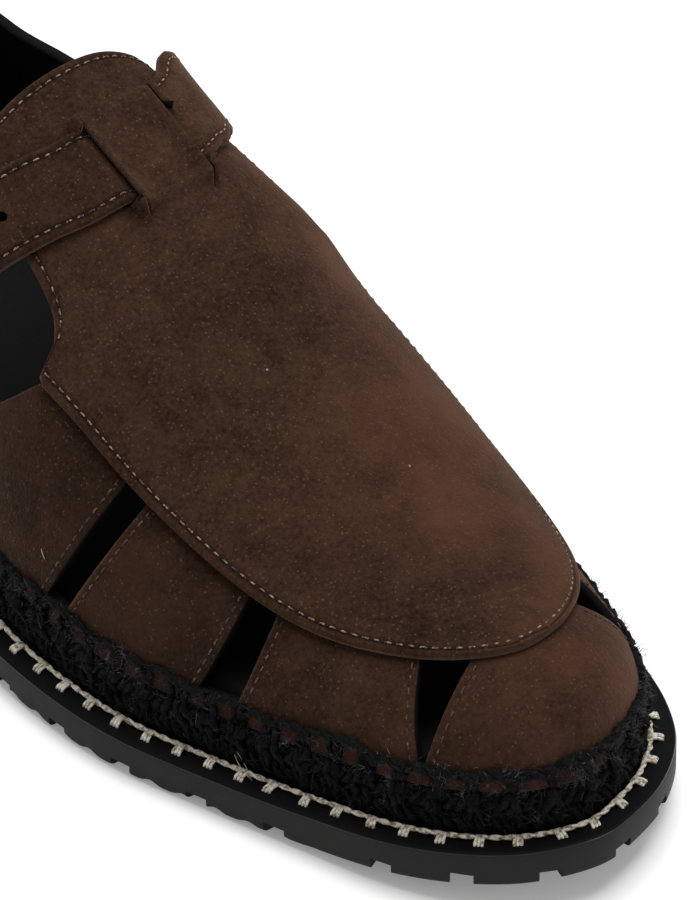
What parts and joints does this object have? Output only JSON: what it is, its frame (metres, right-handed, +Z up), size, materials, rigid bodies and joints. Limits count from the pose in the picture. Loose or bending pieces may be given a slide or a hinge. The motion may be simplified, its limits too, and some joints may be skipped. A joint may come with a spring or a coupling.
{
  "type": "espadrille",
  "caption": "Slip-in espadrille for the right foot: slit suede vamp, stitched apron, instep strap, braided jute midsole and lugged rubber sole.",
  "frame": {"origin": "on the floor under the middle of the outsole's box", "axes": "+Y from toe to heel, +X towards the inner side of the foot, +Z up from the floor"},
  "size_m": [0.1076, 0.3, 0.0941],
  "materials": {
    "rubber": "satin",
    "jute": "matte",
    "footbed": "matte",
    "suede": "matte"
  },
  "bodies": {
    "root": {"outsole": "rubber", "midsole": "jute", "insole": "footbed", "upper": "suede", "apron": "suede", "strap": "suede"}
  },
  "joints": []
}
